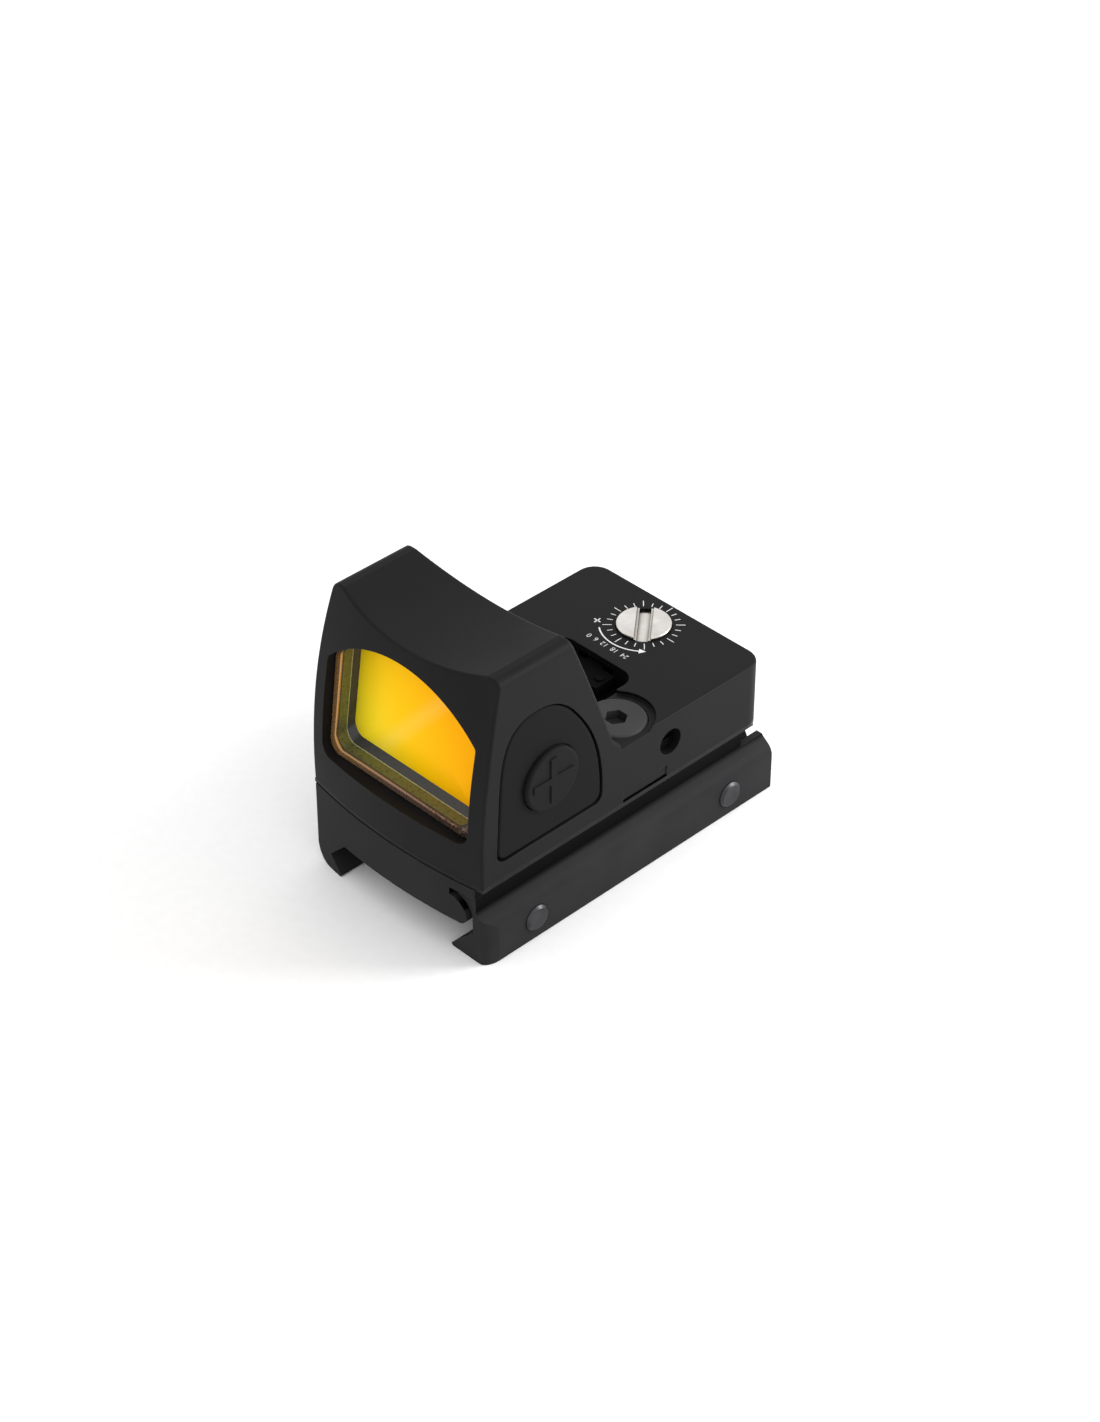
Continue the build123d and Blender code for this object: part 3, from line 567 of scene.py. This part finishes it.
def build_marks():
    """Dial ticks, turning arrow, plus mark and plain dial numbers."""
    paint = marking_paint()
    low = deck - PRINT_SINK * MM
    high = deck + PRINT_RISE * MM
    ticks = 24
    arrow_radius = 5.25 * MM
    arrow_start = -129
    arrow_end = -52
    mesh = bmesh.new()
    for i in range(ticks):
        outer = 4.85 if i % 3 == 0 else 4.45
        add_bar(mesh, dial_center, 2 * pi * i / ticks, 3.75 * MM, outer * MM, 0.10 * MM, low, high)
    add_band(mesh, dial_center, arrow_radius, 0.17 * MM, arrow_start, arrow_end, low, high)
    add_arrow_head(mesh, dial_center, arrow_radius, arrow_end, 0.55 * MM, low, high)
    plus_angle = radians(arrow_start - 15)
    plus = dial_center + Vector((cos(plus_angle), sin(plus_angle), 0)) * 5.5 * MM
    for angle in (0, pi / 2):
        add_bar(mesh, plus, angle, -0.5 * MM, 0.5 * MM, 0.15 * MM, low, high)
    marks = finish_mesh("dial_marks", mesh, paint)
    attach(marks, "sight_body")

    text = bpy.data.curves.new("dial_numbers", "FONT")
    text.body = "24  18  12  6  0"
    text.size = 1.05 * MM
    text.offset = -0.015 * MM
    text.extrude = (PRINT_SINK + PRINT_RISE) / 2 * MM
    text.align_x = "CENTER"
    text.align_y = "CENTER"
    numbers = make_object("dial_numbers", text, paint)
    numbers.location = (dial_center.x, dial_center.y - 6.0 * MM, deck + 0.003 * MM)
    numbers.rotation_euler = (0, 0, pi)
    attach(numbers, "sight_body")


# ------------------------------------------------------------------ windage spring
def build_spring():
    """Compression spring coil that takes the place of the windage spring part."""
    turns = 6
    wire = 0.14 * MM
    sides = 10
    steps = 24 * turns
    low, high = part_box("windage_spring")
    middle = (low + high) / 2
    radius = (high.z - low.z) / 2 - wire
    length = high.x - low.x - 2 * wire
    mesh = bmesh.new()
    loops = []
    for i in range(steps + 1):
        angle = 2 * pi * turns * i / steps
        ray = Vector((0, cos(angle), sin(angle)))
        center = Vector((low.x + wire + length * i / steps, middle.y, middle.z)) + ray * radius
        loop = []
        for k in range(sides):
            turn = 2 * pi * k / sides
            loop.append(mesh.verts.new(center + (ray * cos(turn) + Vector((sin(turn), 0, 0))) * wire))
        loops.append(loop)
    for first, second in zip(loops, loops[1:]):
        join_rings(mesh, first, second)
    mesh.faces.new(loops[0])
    mesh.faces.new(loops[-1])
    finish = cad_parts["windage_spring"].material_slots[0].material
    coil = finish_mesh("windage_coil", mesh, finish, corner=50)
    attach(coil, "sight_body")
    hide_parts("windage_spring")
    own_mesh(coil)


# ------------------------------------------------------------------ floor
def build_floor():
    mesh = bmesh.new()
    bmesh.ops.create_grid(mesh, x_segments=8, y_segments=8, size=3.0)
    data = bpy.data.meshes.new("floor")
    mesh.to_mesh(data)
    mesh.free()
    floor = make_object("floor", data, floor_paper())
    floor.location.z = -0.02 * MM


# ------------------------------------------------------------------ carried-over nodes
def dress_nodes():
    """Give every CAD node its finish."""
    housing_black = anodised(
        "housing_black", (0.0046, 0.0046, 0.0051), (0.0080, 0.0080, 0.0087), (0.05, 0.05, 0.05))
    # the clamp finish has painted shade on the recess wall above the bar
    clamp_black = anodised(
        "clamp_black", (0.016, 0.016, 0.017), (0.023, 0.023, 0.024), (0.09, 0.09, 0.09),
        specular=0.05, paint_recess_shade=True)
    pad_rubber = rubber("pad_rubber", 0.10)
    button_rubber = rubber("button_rubber", 0.13)
    nickel = nickel_plate()
    screw_black = anodised("screw_black", (0.030, 0.030, 0.031), (0.044, 0.044, 0.045), (0.13, 0.13, 0.13))
    # black plastic made darker than its own colour: painted shade of the emitter well and the windage side
    # hole
    emitter_black = dull_plastic(
        "emitter_black", (0.0012, 0.0012, 0.0012), (0.0025, 0.0025, 0.0025), 0.8, specular=0.05)
    dark_steel = turned_metal("dark_steel", (0.016, 0.016, 0.017), (0.030, 0.030, 0.032), 0.35, 0.50)
    bolt_steel = turned_metal("bolt_steel", (0.035, 0.035, 0.038), (0.065, 0.065, 0.068), 0.32, 0.46)
    spring = turned_metal("spring_wire", (0.45, 0.45, 0.47), (0.62, 0.62, 0.64), 0.2, 0.3)
    brass = turned_metal("contact_brass", (0.58, 0.44, 0.18), (0.74, 0.58, 0.26), 0.22, 0.35)
    cell = turned_metal("cell_can", (0.55, 0.55, 0.56), (0.70, 0.70, 0.71), 0.2, 0.32)
    seal = dull_plastic("nitrile", (0.010, 0.010, 0.010), (0.018, 0.018, 0.018), 0.65)
    board = dull_plastic("board_mask", (0.010, 0.09, 0.04), (0.016, 0.14, 0.06), 0.35)
    chip = dull_plastic("chip_epoxy", (0.012, 0.012, 0.012), (0.022, 0.022, 0.022), 0.5)
    ceramic = dull_plastic("capacitor_body", (0.34, 0.24, 0.13), (0.46, 0.34, 0.20), 0.4)
    led = dull_plastic("led_lens", (0.55, 0.02, 0.015), (0.75, 0.05, 0.04), 0.15)
    plate = turned_metal("seal_plate_coat", (0.014, 0.014, 0.014), (0.026, 0.026, 0.026), 0.35, 0.5)
    glass = clear_glass()
    finishes = {
        "housing": housing_black,
        "mount_base": clamp_black,
        "clamp_bar": clamp_black,
        "emitter_block": emitter_black,
        "windage_carriage": emitter_black,
        "plus_button": button_rubber,
        "minus_button": button_rubber,
        "plus_button_surround": pad_rubber,
        "minus_button_surround": pad_rubber,
        "plus_switch": brass,
        "minus_switch": brass,
        "negative_contact": brass,
        "positive_contact": brass,
        "elevation_nut": brass,
        "elevation_screw": nickel,
        "mounting_screws": screw_black,
        "windage_screw": emitter_black,
        "board_screws": dark_steel,
        "front_clamp_screw": bolt_steel,
        "rear_clamp_screw": bolt_steel,
        "elevation_retaining_clip": spring,
        "windage_retaining_clip": spring,
        "windage_spring": spring,
        "battery_cell": cell,
        "seal_gasket": seal,
        "elevation_o_ring": seal,
        "windage_o_ring": seal,
        "circuit_board": board,
        "control_chip": chip,
        "board_capacitors": ceramic,
        "red_led": led,
        "seal_plate": plate,
        "emitter_window": glass,
        "rear_lens_element": glass,
        "lens_bond_ring": brass,
        "front_lens_element": glass,
    }
    for name, material in finishes.items():
        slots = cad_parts[name].material_slots
        if not slots:
            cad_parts[name].data.materials.append(material)
        for slot in slots:
            slot.material = material


add_camera()
add_studio()
build_floor()
dress_nodes()
build_lens()
build_marks()
build_spring()
